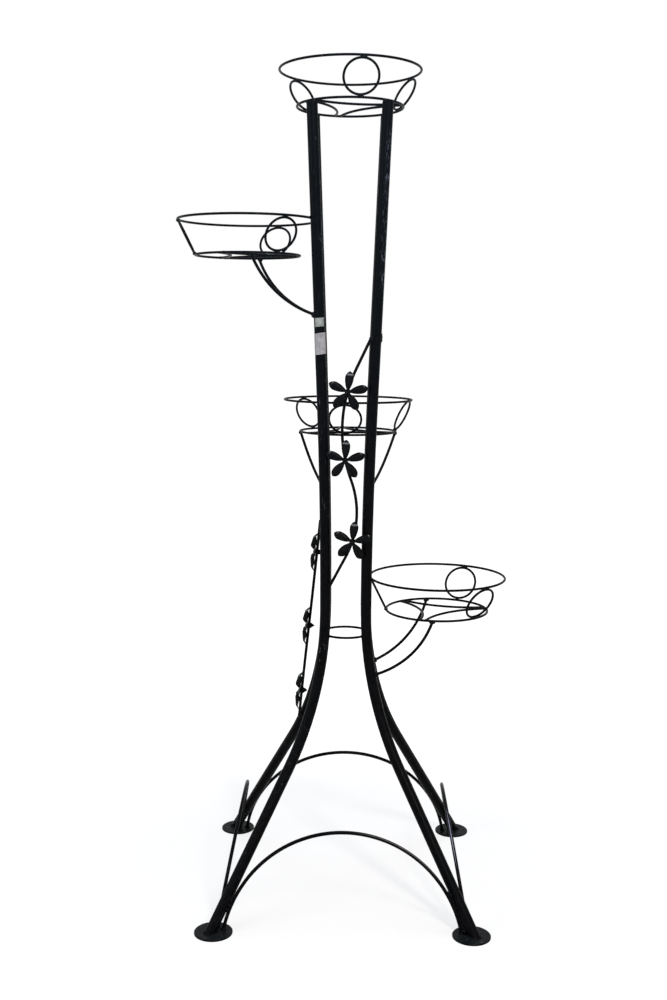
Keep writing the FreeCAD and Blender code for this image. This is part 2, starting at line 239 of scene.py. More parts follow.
@dataclass(frozen=True)
class EnamelOnSteel:
    """Semi-gloss black enamel, sprayed in one thin coat over mill steel.

    A thin sprayed coat is uneven: it pools darker and glossier, shows a fine orange peel, and rubs through to
    grey in short strokes and along sheared edges. Painted on it too: a cool bluish sheen that grows with
    height and stands for cool light from above, highlights on the lit side of some arches, and a highlight on
    the petals' up-facing folds.
    """

    name: str
    deep_hex: str = "#020203"
    body_hex: str = "#070708"
    # Painted sheen: a cool bluish colour that stands for cool light from above, laid on more strongly towards
    # the top.
    sky_sheen_hex: str = "#0b1117"
    # Grey of wear marks, and of the painted highlights on the arches and on the petals' folds.
    rub_and_highlight_hex: str = "#54575b"
    dust_hex: str = "#1b1f20"
    specular: float = 0.03
    glossy: float = 0.30
    dull: float = 0.50
    rub_and_highlight_dull: float = 0.15
    film_mm: float = 9.0
    # Patch size, heights and shares of the painted sheen.
    sky_sheen_mm: float = 140.0
    sky_sheen_low_mm: float = 600.0
    sky_sheen_high_mm: float = 1350.0
    sky_sheen_share: tuple[float, float] = (0.1, 1.6)
    peel_mm: float = 1.3
    peel_depth_mm: float = 0.05
    stroke_mm: float = 2.0
    stroke_stretch: float = 14.0
    stroke_from: float = 0.66
    stroke_edge: float = 0.1
    # Height band and facing of the grey marks: scuffs where they are wear, painted highlights on the arches.
    worn_and_lit_mid_mm: float = 700.0
    worn_and_lit_half_mm: float = 900.0
    worn_and_lit_fade: float = 1.3
    worn_and_lit_facing: tuple[float, float, float] | None = None
    worn_and_lit_from: float = 0.6
    worn_and_lit_full: float = 0.95
    edge_mm: float = 0.0
    edge_share: float = 0.5
    edge_turn: tuple[float, float] = (0.97, 0.80)
    fold_highlit: bool = False
    fold_up: tuple[float, float] = (0.15, 0.45)
    dust_share: float = 0.0
    dust_up: float = 0.5

    def material(self) -> bpy.types.Material:
        """Builds the paint the first time and hands out the same one after that."""
        made = bpy.data.materials.get(self.name)
        if made is not None:
            return made
        made = blank_material(self.name)
        tree = made.node_tree
        place = add(tree, "ShaderNodeTexCoord").outputs["Object"]
        surface = add(tree, "ShaderNodeNewGeometry")
        height = add(tree, "ShaderNodeSeparateXYZ", {0: place}).outputs["Z"]
        film = add(tree, "ShaderNodeTexNoise",
                   {"Vector": place, "Scale": per_metre(self.film_mm), "Detail": 4.0}).outputs[0]
        rub_and_highlight = self.rub_and_highlight_mask(tree, place, surface, height)
        colour = self.colour(tree, place, surface, height, film, rub_and_highlight)
        sheen = add(tree, "ShaderNodeMapRange",
                    {0: film, 1: FILM_BAND[0], 2: FILM_BAND[1], 3: self.glossy, 4: self.dull})
        rough = add(tree, "ShaderNodeMath", {0: rub_and_highlight, 1: self.rub_and_highlight_dull, 2: sheen.outputs[0]},
                    operation="MULTIPLY_ADD", use_clamp=True)
        peel = add(tree, "ShaderNodeTexNoise",
                   {"Vector": place, "Scale": per_metre(self.peel_mm), "Detail": 2.0})
        bump = add(tree, "ShaderNodeBump",
                   {"Height": peel.outputs[0], "Distance": self.peel_depth_mm * MM, "Strength": 0.6})
        shader = add(tree, "ShaderNodeBsdfPrincipled",
                     {"Base Color": colour, "Roughness": rough.outputs[0],
                      "Specular IOR Level": self.specular, "Normal": bump.outputs[0]})
        add(tree, "ShaderNodeOutputMaterial", {"Surface": shader.outputs[0]})
        return made

    def rub_and_highlight_mask(self, tree: bpy.types.NodeTree, place: bpy.types.NodeSocket, surface: bpy.types.Node,
                    height: bpy.types.NodeSocket) -> bpy.types.NodeSocket:
        """Finds where the paint shows grey: wear in short strokes and at edges where the stock has them, and
        painted highlights on the lit side of the front and right arches and on the petals' up-facing folds.

        Args:
            tree: Node tree of the paint.
            place: Object coordinates.
            surface: Geometry node, for the normal.
            height: Height above the floor.

        Returns:
            Mask from 0 for whole paint to 1 for wear marks and painted highlights.
        """
        drawn = add(tree, "ShaderNodeMapping", {"Vector": place, "Scale": (1, 1, 1 / self.stroke_stretch)})
        strokes = add(tree, "ShaderNodeTexNoise",
                      {"Vector": drawn.outputs[0], "Scale": per_metre(self.stroke_mm), "Detail": 3.0,
                       "Roughness": 0.6}).outputs[0]
        mask = add(tree, "ShaderNodeMapRange",
                   {0: strokes, 1: self.stroke_from, 2: self.stroke_from + self.stroke_edge}).outputs[0]
        away = add(tree, "ShaderNodeMath", {0: height, 1: self.worn_and_lit_mid_mm * MM}, operation="SUBTRACT")
        away = add(tree, "ShaderNodeMath", {0: away.outputs[0]}, operation="ABSOLUTE")
        half = self.worn_and_lit_half_mm * MM
        zone = add(tree, "ShaderNodeMapRange",
                   {0: away.outputs[0], 1: half, 2: half * self.worn_and_lit_fade, 3: 1.0, 4: 0.0},
                   interpolation_type="SMOOTHSTEP")
        mask = add(tree, "ShaderNodeMath", {0: mask, 1: zone.outputs[0]}, operation="MULTIPLY").outputs[0]
        # A facing keeps the marks on one side: the scuffs on the front right post, and the painted highlights
        # on the front and right arches, on the side that faces the key light.
        if self.worn_and_lit_facing is not None:
            facing = add(tree, "ShaderNodeVectorMath", {0: surface.outputs["Normal"], 1: self.worn_and_lit_facing},
                         operation="DOT_PRODUCT")
            side = add(tree, "ShaderNodeMapRange",
                       {0: facing.outputs["Value"], 1: self.worn_and_lit_from, 2: self.worn_and_lit_full})
            mask = add(tree, "ShaderNodeMath", {0: mask, 1: side.outputs[0]}, operation="MULTIPLY").outputs[0]
        if self.edge_mm:
            rounded = add(tree, "ShaderNodeBevel", {"Radius": self.edge_mm * MM}, samples=4)
            same = add(tree, "ShaderNodeVectorMath", {0: rounded.outputs[0], 1: surface.outputs["Normal"]},
                       operation="DOT_PRODUCT")
            edge = add(tree, "ShaderNodeMapRange",
                       {0: same.outputs["Value"], 1: self.edge_turn[0], 2: self.edge_turn[1], 3: 0.0,
                        4: self.edge_share})
            patch = add(tree, "ShaderNodeTexNoise", {"Vector": place, "Scale": per_metre(self.film_mm / 2)})
            some = add(tree, "ShaderNodeMapRange",
                       {0: patch.outputs[0], 1: PATCH_BAND[0], 2: PATCH_BAND[1]})
            edge = add(tree, "ShaderNodeMath", {0: edge.outputs[0], 1: some.outputs[0]}, operation="MULTIPLY")
            mask = add(tree, "ShaderNodeMath", {0: mask, 1: edge.outputs[0]}, operation="MAXIMUM").outputs[0]
        # Painted highlight: a light line along the petals' fold, only where the fold faces up towards the
        # lamps.
        if self.fold_highlit:
            fold = add(tree, "ShaderNodeAttribute", attribute_name=FOLD)
            upward = add(tree, "ShaderNodeSeparateXYZ", {0: surface.outputs["Normal"]})
            above = add(tree, "ShaderNodeMapRange",
                        {0: upward.outputs["Z"], 1: self.fold_up[0], 2: self.fold_up[1]})
            lit_fold = add(tree, "ShaderNodeMath", {0: fold.outputs["Fac"], 1: above.outputs[0]},
                       operation="MULTIPLY")
            mask = add(tree, "ShaderNodeMath", {0: mask, 1: lit_fold.outputs[0]}, operation="MAXIMUM").outputs[0]
        return mask

    def colour(self, tree: bpy.types.NodeTree, place: bpy.types.NodeSocket, surface: bpy.types.Node,
               height: bpy.types.NodeSocket, film: bpy.types.NodeSocket,
               rub_and_highlight: bpy.types.NodeSocket) -> bpy.types.NodeSocket:
        """Lays the coat's colours over each other: pooled paint, a painted cool sheen that grows with height,
        settled dust, and wear marks with painted highlights.

        Args:
            tree: Node tree of the paint.
            place: Object coordinates.
            surface: Geometry node, for the normal.
            height: Height above the floor.
            film: Thickness pattern of the coat.
            rub_and_highlight: Mask of the wear marks and of the painted highlights.

        Returns:
            The colour.
        """
        share = add(tree, "ShaderNodeMapRange", {0: film, 1: FILM_BAND[0], 2: FILM_BAND[1]}).outputs[0]
        colour = add(tree, "ShaderNodeMix", {0: share, 6: srgb(self.deep_hex), 7: srgb(self.body_hex)},
                     data_type="RGBA").outputs[2]
        # Painted sheen: cool bluish patches, laid on more strongly with height, that stand for the reflection
        # of cool light from above.
        cloud = add(tree, "ShaderNodeTexNoise",
                    {"Vector": place, "Scale": per_metre(self.sky_sheen_mm), "Detail": 3.0})
        rise = add(tree, "ShaderNodeMapRange",
                   {0: height, 1: self.sky_sheen_low_mm * MM, 2: self.sky_sheen_high_mm * MM, 3: self.sky_sheen_share[0],
                    4: self.sky_sheen_share[1]})
        sky_sheen = add(tree, "ShaderNodeMath", {0: cloud.outputs[0], 1: rise.outputs[0]}, operation="MULTIPLY",
                   use_clamp=True)
        colour = add(tree, "ShaderNodeMix", {0: sky_sheen.outputs[0], 6: colour, 7: srgb(self.sky_sheen_hex)},
                     data_type="RGBA").outputs[2]
        if self.dust_share:
            upward = add(tree, "ShaderNodeSeparateXYZ", {0: surface.outputs["Normal"]})
            lying = add(tree, "ShaderNodeMapRange",
                        {0: upward.outputs["Z"], 1: self.dust_up, 2: 1.0, 3: 0.0, 4: self.dust_share})
            settled = add(tree, "ShaderNodeMath", {0: lying.outputs[0], 1: film}, operation="MULTIPLY")
            colour = add(tree, "ShaderNodeMix", {0: settled.outputs[0], 6: colour, 7: srgb(self.dust_hex)},
                         data_type="RGBA").outputs[2]
        return add(tree, "ShaderNodeMix", {0: rub_and_highlight, 6: colour, 7: srgb(self.rub_and_highlight_hex)},
                   data_type="RGBA").outputs[2]


@dataclass(frozen=True)
class CoatedPaper:
    """Clay-coated sticker paper, handled and a little soiled.

    The coating is nearly matt and smooth. Fibres show through as a faint mottle, and handling greys it.
    """

    name: str
    paper_hex: str
    soil_hex: str
    fibre_mm: float = 0.7
    fibre_depth_mm: float = 0.03
    fibre_share: float = 0.25
    soil_mm: float = 7.0
    soil_band: tuple[float, float] = (0.42, 0.72)
    soil_share: float = 0.8
    rough: float = 0.6
    rough_spread: float = 0.1
    specular: float = 0.3

    def material(self) -> bpy.types.Material:
        """Builds the paper."""
        made = blank_material(self.name)
        tree = made.node_tree
        place = add(tree, "ShaderNodeTexCoord").outputs["Object"]
        fibre = add(tree, "ShaderNodeTexNoise",
                    {"Vector": place, "Scale": per_metre(self.fibre_mm), "Detail": 3.0}).outputs[0]
        cloud = add(tree, "ShaderNodeTexNoise",
                    {"Vector": place, "Scale": per_metre(self.soil_mm), "Detail": 4.0})
        soil = add(tree, "ShaderNodeMapRange",
                   {0: cloud.outputs[0], 1: self.soil_band[0], 2: self.soil_band[1], 3: 0.0,
                    4: self.soil_share})
        mottle = add(tree, "ShaderNodeMath", {0: fibre, 1: self.fibre_share, 2: soil.outputs[0]},
                     operation="MULTIPLY_ADD", use_clamp=True)
        colour = add(tree, "ShaderNodeMix",
                     {0: mottle.outputs[0], 6: srgb(self.paper_hex), 7: srgb(self.soil_hex)},
                     data_type="RGBA")
        rough = add(tree, "ShaderNodeMapRange",
                    {0: fibre, 3: self.rough - self.rough_spread, 4: self.rough + self.rough_spread})
        bump = add(tree, "ShaderNodeBump",
                   {"Height": fibre, "Distance": self.fibre_depth_mm * MM, "Strength": 0.5})
        shader = add(tree, "ShaderNodeBsdfPrincipled",
                     {"Base Color": colour.outputs[2], "Roughness": rough.outputs[0],
                      "Specular IOR Level": self.specular, "Normal": bump.outputs[0]})
        add(tree, "ShaderNodeOutputMaterial", {"Surface": shader.outputs[0]})
        return made


@dataclass(frozen=True)
class StockKind:
    """One kind of steel stock: a word in its nodes' names, the bead a weld on it gets, and its paint."""

    word: str
    bead_mm: float
    paint: EnamelOnSteel


class Stock(Enum):
    """The stock that the stand is welded from."""

    TUBE = StockKind("post_", 4.2, EnamelOnSteel("enamel_on_drawn_tube"))
    PLATE = StockKind("plate", 4.2, EnamelOnSteel(
        "enamel_on_stamped_plate", edge_mm=0.7, edge_share=0.3, dust_share=1.0, stroke_mm=5.0,
        stroke_stretch=1.0))
    ARCH = StockKind("arch", 4.2, EnamelOnSteel(
        "enamel_on_arched_rod", glossy=0.24, dull=0.40, stroke_mm=1.4, stroke_from=0.82))
    STRUT = StockKind("strut", 3.9, EnamelOnSteel(
        "enamel_on_bent_strut", glossy=0.26, dull=0.42, stroke_mm=1.4, stroke_from=0.82))
    STEM = StockKind("stem", 4.4, EnamelOnSteel(
        "enamel_on_bent_stem", glossy=0.28, dull=0.44, stroke_mm=1.4, stroke_from=0.82))
    # The flowers' grey strokes and edges are wear; the light line on their up-facing folds is a painted
    # highlight.
    FLOWER = StockKind("flower", 2.6, EnamelOnSteel(
        "enamel_on_stamped_sheet", deep_hex="#050506", body_hex="#111213", rub_and_highlight_hex="#7c7f82", film_mm=4.0,
        stroke_mm=3.0, stroke_stretch=1.0, stroke_from=0.70, edge_mm=0.6, edge_share=0.3, fold_highlit=True))
    FLOOR_WIRE = StockKind("base_arc", 2.3, EnamelOnSteel(
        "enamel_on_floor_wire", glossy=0.28, dull=0.46, film_mm=5.0, stroke_mm=1.2, stroke_stretch=1.0,
        stroke_from=0.82))
    WIRE = StockKind("", 3.2, EnamelOnSteel(
        "enamel_on_drawn_wire", glossy=0.28, dull=0.46, film_mm=5.0, stroke_mm=1.2, stroke_stretch=1.0,
        stroke_from=0.82))

    @classmethod
    def of(cls, node: str) -> "Stock":
        """Stock of a CAD node, by the word in its name."""
        return next(stock for stock in cls if stock.value.word in node)


SCUFFED_TUBE = EnamelOnSteel(
    "enamel_on_scuffed_tube", rub_and_highlight_hex="#565f6d", stroke_mm=1.4, stroke_stretch=9.0, stroke_from=0.57,
    worn_and_lit_mid_mm=1150.0, worn_and_lit_half_mm=105.0, worn_and_lit_facing=(0.7, -0.7, 0.0))
# Painted highlights: on the front arch's right half a neutral grey line, on the right arch's front half a
# bluish one, where the rods face the key light; they stand for the lamps' reflections.
HIGHLIT_FRONT_ARCH = EnamelOnSteel(
    "enamel_with_painted_highlight_front_arch", rub_and_highlight_hex="#5e5e60", glossy=0.24, dull=0.40, stroke_mm=30.0, stroke_stretch=1.0,
    stroke_from=0.30, worn_and_lit_facing=(0.29, -0.7, 0.65), worn_and_lit_from=0.965, worn_and_lit_full=0.99)
HIGHLIT_RIGHT_ARCH = EnamelOnSteel(
    "enamel_with_painted_highlight_right_arch", rub_and_highlight_hex="#83859a", glossy=0.24, dull=0.40, stroke_mm=30.0, stroke_stretch=1.0,
    stroke_from=0.30, worn_and_lit_facing=(-0.2, -0.57, 0.80), worn_and_lit_from=0.95, worn_and_lit_full=0.99)
SCUFFS_AND_HIGHLIGHTS = {"post_front_right": SCUFFED_TUBE, "arch_front": HIGHLIT_FRONT_ARCH, "arch_right": HIGHLIT_RIGHT_ARCH}
WELD_PAINT = EnamelOnSteel(
    "enamel_over_weld", glossy=0.26, dull=0.46, film_mm=2.5, peel_mm=0.8, peel_depth_mm=0.12, stroke_mm=1.5,
    stroke_stretch=1.0, stroke_from=0.6)


class TouchFinder:
    """Finds the places where two CAD nodes touch, which is where the welder put a bead."""

    def __init__(self, reach_mm: float = 0.5, spread_mm: float = 4.5) -> None:
        """Keeps the sizes of the search.

        Args:
            reach_mm: Largest gap that still counts as touching.
            spread_mm: Points closer than this belong to one bead.
        """
        self.reach = reach_mm * MM
        self.spread = spread_mm * MM
        self.points: dict[str, np.ndarray] = {}
        self.trees: dict[str, BVHTree] = {}

    def corners(self, node: str) -> np.ndarray:
        """Corner points of a node's mesh, without repeats."""
        if node not in self.points:
            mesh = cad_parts[node].data
            flat = np.empty(len(mesh.vertices) * 3, np.float32)
            mesh.vertices.foreach_get("co", flat)
            self.points[node] = np.unique(flat.reshape(-1, 3).round(6), axis=0)
        return self.points[node]

    def tree(self, node: str) -> BVHTree:
        """Search tree over a node's faces."""
        if node not in self.trees:
            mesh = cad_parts[node].data
            self.trees[node] = BVHTree.FromPolygons([v.co for v in mesh.vertices],
                                                    [p.vertices for p in mesh.polygons])
        return self.trees[node]

    def near(self, node: str, other: str) -> list[Vector]:
        """Points midway between a node's corners and another node, where the two touch."""
        low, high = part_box(other)
        points = self.corners(node)
        above = points > np.array(low) - self.reach
        below = points < np.array(high) + self.reach
        inside = np.all(above & below, axis=1)
        found = []
        for point in points[inside]:
            spot, _, _, _ = self.tree(other).find_nearest(Vector(point), self.reach)
            if spot is not None:
                found.append((spot + Vector(point)) / 2)
        return found

    def spots(self, node: str, other: str) -> list[Vector]:
        """Finds the bead places between two nodes.

        Args:
            node: First CAD node.
            other: Second CAD node.

        Returns:
            One point for each bead.
        """
        groups: list[list[Vector]] = []
        for point in self.near(node, other) + self.near(other, node):
            home = next((g for g in groups if (g[0] - point).length < self.spread), None)
            if home is None:
                groups.append([point])
            else:
                home.append(point)
        return [sum(g, Vector()) / len(g) for g in groups]


@dataclass
class BeadMaker:
    """Turns bead places into lumps of weld metal, with one Geometry Nodes tree for all of them."""

    lump_mm: float = 2.4
    lump_depth_mm: float = 1.1
    size_spread: float = 0.18
    floor_share: float = 1.4
    seed: int = 7
    tree: bpy.types.NodeTree = field(init=False)

    def __post_init__(self) -> None:
        """Builds the tree: a ball on every point, joined to one mesh and pushed in and out by a noise."""
        tree, given = start_tree("weld_bead_lumps", {"Size Spread": "Float", "Lump Scale": "Float",
                                                     "Lump Depth": "Float", "Seed": "Int"})
        self.tree = tree
        radius = add(tree, "GeometryNodeInputNamedAttribute", {"Name": "bead_radius"}, data_type="FLOAT")
        least = add(tree, "ShaderNodeMath", {0: 1.0, 1: given["Size Spread"]}, operation="SUBTRACT")
        most = add(tree, "ShaderNodeMath", {0: 1.0, 1: given["Size Spread"]}, operation="ADD")
        size = add(tree, "FunctionNodeRandomValue",
                   {2: least.outputs[0], 3: most.outputs[0], 8: given["Seed"]}, data_type="FLOAT")
        scale = add(tree, "ShaderNodeMath", {0: radius.outputs[0], 1: size.outputs[1]}, operation="MULTIPLY")
        turn = add(tree, "FunctionNodeRandomValue", {0: (0, 0, 0), 1: (math.tau,) * 3, 8: given["Seed"]},
                   data_type="FLOAT_VECTOR")
        ball = add(tree, "GeometryNodeMeshIcoSphere", {"Radius": 1.0, "Subdivisions": 3})
        balls = add(tree, "GeometryNodeInstanceOnPoints",
                    {"Points": given["Geometry"], "Instance": ball.outputs["Mesh"],
                     "Rotation": turn.outputs[0], "Scale": scale.outputs[0]})
        joined = add(tree, "GeometryNodeRealizeInstances", {0: balls.outputs[0]})
        noise = add(tree, "ShaderNodeTexNoise", {"Scale": given["Lump Scale"], "Detail": 1.0})
        centred = add(tree, "ShaderNodeVectorMath", {0: noise.outputs[1], 1: (0.5,) * 3},
                      operation="SUBTRACT")
        push = add(tree, "ShaderNodeVectorMath", {0: centred.outputs[0], "Scale": given["Lump Depth"]},
                   operation="SCALE")
        lumpy = add(tree, "GeometryNodeSetPosition",
                    {"Geometry": joined.outputs[0], "Offset": push.outputs[0]})
        end_tree(tree, lumpy.outputs[0], given["Material"])

    def make(self, name: str, places: list[tuple[Vector, float]]) -> bpy.types.Object:
        """Makes one mesh of beads.

        Args:
            name: Name of the piece.
            places: Middle and radius of each bead.

        Returns:
            The piece, riding on the stand.
        """
        points = bpy.data.meshes.new(name + "_points")
        lifted = [Vector((at.x, at.y, max(at.z, radius * self.floor_share))) for at, radius in places]
        points.from_pydata(lifted, [], [])
        sizes = points.attributes.new("bead_radius", "FLOAT", "POINT")
        sizes.data.foreach_set("value", [radius for _, radius in places])
        values = {"Size Spread": self.size_spread, "Lump Scale": per_metre(self.lump_mm),
                  "Lump Depth": self.lump_depth_mm * MM, "Seed": self.seed, "Material": WELD_PAINT.material()}
        beads = run_tree(bpy.data.objects.new(name + "_points", points), self.tree, values)
        return show(name, beads)


@dataclass
class SubAssembly:
    """A group of CAD nodes that is painted and welded together."""

    name: str
    nodes: list[str]
    beside: list[str]

    def dress(self) -> None:
        """Gives every node the paint of its stock."""
        for node in self.nodes:
            self.paint(node, Stock.of(node).value.paint)

    def paint(self, node: str, paint: EnamelOnSteel) -> None:
        """Puts one paint on one node."""
        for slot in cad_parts[node].material_slots:
            slot.material = paint.material()
        LOG.info("%s: %s", node, paint.name)

    def bead_places(self, finder: TouchFinder) -> list[tuple[Vector, float]]:
        """Lists the beads of this group.

        Args:
            finder: Search for the places where nodes touch.

        Returns:
            Middle and radius of each bead.
        """
        places = []
        for first, second in [*combinations(self.nodes, 2), *product(self.nodes, self.beside)]:
            radius = min(Stock.of(first).value.bead_mm, Stock.of(second).value.bead_mm) * MM
            places += [(spot, radius) for spot in finder.spots(first, second)]
        return places

    def weld(self, finder: TouchFinder, maker: BeadMaker) -> None:
        """Makes the beads of this group as one piece."""
        maker.make(self.name + "_weld_beads", self.bead_places(finder))


@dataclass
class LegFrame(SubAssembly):
    """Posts, foot plates, arches and the ring in the waist, with the seam welded round each post's foot."""

    name: str = "frame"
    nodes: list[str] = field(default_factory=lambda: [
        *("post_" + c for c in CORNERS), *("foot_plate_" + c for c in CORNERS),
        *("arch_" + s for s in SIDES), "waist_ring"])
    beside: list[str] = field(default_factory=list)
    seam_bead_mm: float = 1.7
    seam_step_mm: float = 2.2
    foot_mm: float = 0.425
    rim_share: float = 0.92
    rim_look: float = 0.5
    plate_bead_mm: float = 2.8
    webbed: tuple[str, str] = ("post_front_right", "arch_front")
    web_mm: tuple[float, float, float] = (7.0, 66.0, 3.0)
    web_bead_mm: float = 1.5
    web_gap_mm: float = 9.0
    run_post: str = "post_front_right"
    run_mm: tuple[float, float, float] = (944.0, 957.0, 2.5)
    run_bead_mm: float = 1.6

    def dress(self) -> None:
        """Paints the frame, with scuffed paint high on the front right post and painted highlights on the
        front and right arches.
        """
        super().dress()
        for node, paint in SCUFFS_AND_HIGHLIGHTS.items():
            self.paint(node, paint)

    def bead_places(self, finder: TouchFinder) -> list[tuple[Vector, float]]:
        """Lists the beads, with a seam instead of single beads where a post stands on its plate."""
        places = []
        for first, second in combinations(self.nodes, 2):
            pair = {Stock.of(first), Stock.of(second)}
            if pair == {Stock.TUBE, Stock.PLATE}:
                continue
            bead = self.plate_bead_mm if Stock.PLATE in pair else min(stock.value.bead_mm for stock in pair)
            places += [(spot, bead * MM) for spot in finder.spots(first, second)]
        for corner in CORNERS:
            places += [(spot, self.seam_bead_mm * MM) for spot in self.seam(finder, "post_" + corner)]
        for height in np.arange(*self.run_mm):
            middle, half = cut_level(self.run_post, height * MM)
            places.append((middle + Vector((half, 0, 0)), self.run_bead_mm * MM))
        return places + self.web()

    def web(self) -> list[tuple[Vector, float]]:
        """Fills the narrow gap between a post and an arch's end with weld metal, from the plate up."""
        post, rod = self.webbed
        places = []
        for height in np.arange(*self.web_mm):
            trunk, trunk_half = cut_level(post, height * MM)
            end, end_half = cut_level(rod, height * MM, trunk)
            away = end - trunk
            gap = max(away.length - trunk_half - end_half, 0.0)
            if gap < self.web_gap_mm * MM:
                middle = trunk + away.normalized() * (trunk_half + gap / 2)
                places.append((middle, gap / 2 + self.web_bead_mm * MM))
        return places

    def seam(self, finder: TouchFinder, post: str) -> list[Vector]:
        """Walks round the outer edge of a post's foot.

        Args:
            finder: Holds the corner points of the nodes.
            post: CAD node of the post.

        Returns:
            Evenly spaced points round the foot.
        """
        points = finder.corners(post)
        foot = points[points[:, 2] < points[:, 2].min() + self.foot_mm * MM]
        middle = foot.mean(axis=0)
        offset = foot - middle
        reach = np.hypot(offset[:, 0], offset[:, 1])
        angle = np.arctan2(offset[:, 1], offset[:, 0])
        outer = reach > self.rim_share * np.array(
            [reach[np.abs(np.angle(np.exp(1j * (angle - a)))) < self.rim_look].max() for a in angle])
        order = np.argsort(angle[outer])
        turns, reaches = angle[outer][order], reach[outer][order]
        count = round(math.tau * reaches.mean() / (self.seam_step_mm * MM))
        walk = np.linspace(-math.pi, math.pi, count, endpoint=False)
        out = np.interp(walk, turns, reaches, period=math.tau)
        return [Vector((middle[0] + r * math.cos(a), middle[1] + r * math.sin(a), middle[2]))
                for a, r in zip(walk, out)]


@dataclass
class Basket(SubAssembly):
    """One wire basket with the struts under it."""

    @classmethod
    def on(cls, side: str, struts: tuple[str, ...]) -> "Basket":
        """Collects a basket's nodes.

        Args:
            side: Word that starts the basket's nodes.
            struts: Last words of its struts' nodes.

        Returns:
            The basket.
        """
        wires = ["rim", "base_ring", *(f"{kind}_{n}" for kind in ("circle", "base_arc") for n in (1, 2, 3))]
        nodes = [f"{side}_{wire}" for wire in wires] + [f"{side}_strut_{word}" for word in struts]
        return cls(f"{side}_basket", nodes, ["post_" + c for c in CORNERS])


